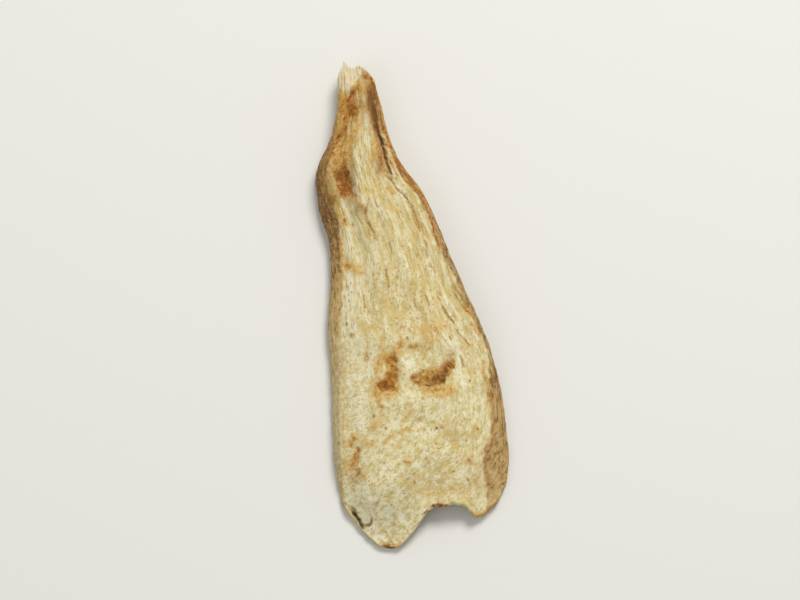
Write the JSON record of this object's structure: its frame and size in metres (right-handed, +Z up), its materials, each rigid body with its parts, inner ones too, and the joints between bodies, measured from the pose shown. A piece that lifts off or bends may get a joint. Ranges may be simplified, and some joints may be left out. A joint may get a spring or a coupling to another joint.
{
  "type": "dried porcini mushroom slice",
  "caption": "Dried lengthwise slice of porcini mushroom: pale arched cut face, brown skin edges, narrow torn neck and a broad notched lower end.",
  "frame": {"origin": "centre of the slice's bounding box, on the surface that it lies on", "axes": "+Y along the slice to the torn tip of its neck, +Z up out of the pale cut face, +X to the right seen from above with the tip away"},
  "size_m": [0.032, 0.0914, 0.0084],
  "materials": {
    "dried_flesh": "dry, matt and fibrous"
  },
  "bodies": {
    "root": {"mushroom_slice": "dried_flesh"}
  },
  "joints": []
}
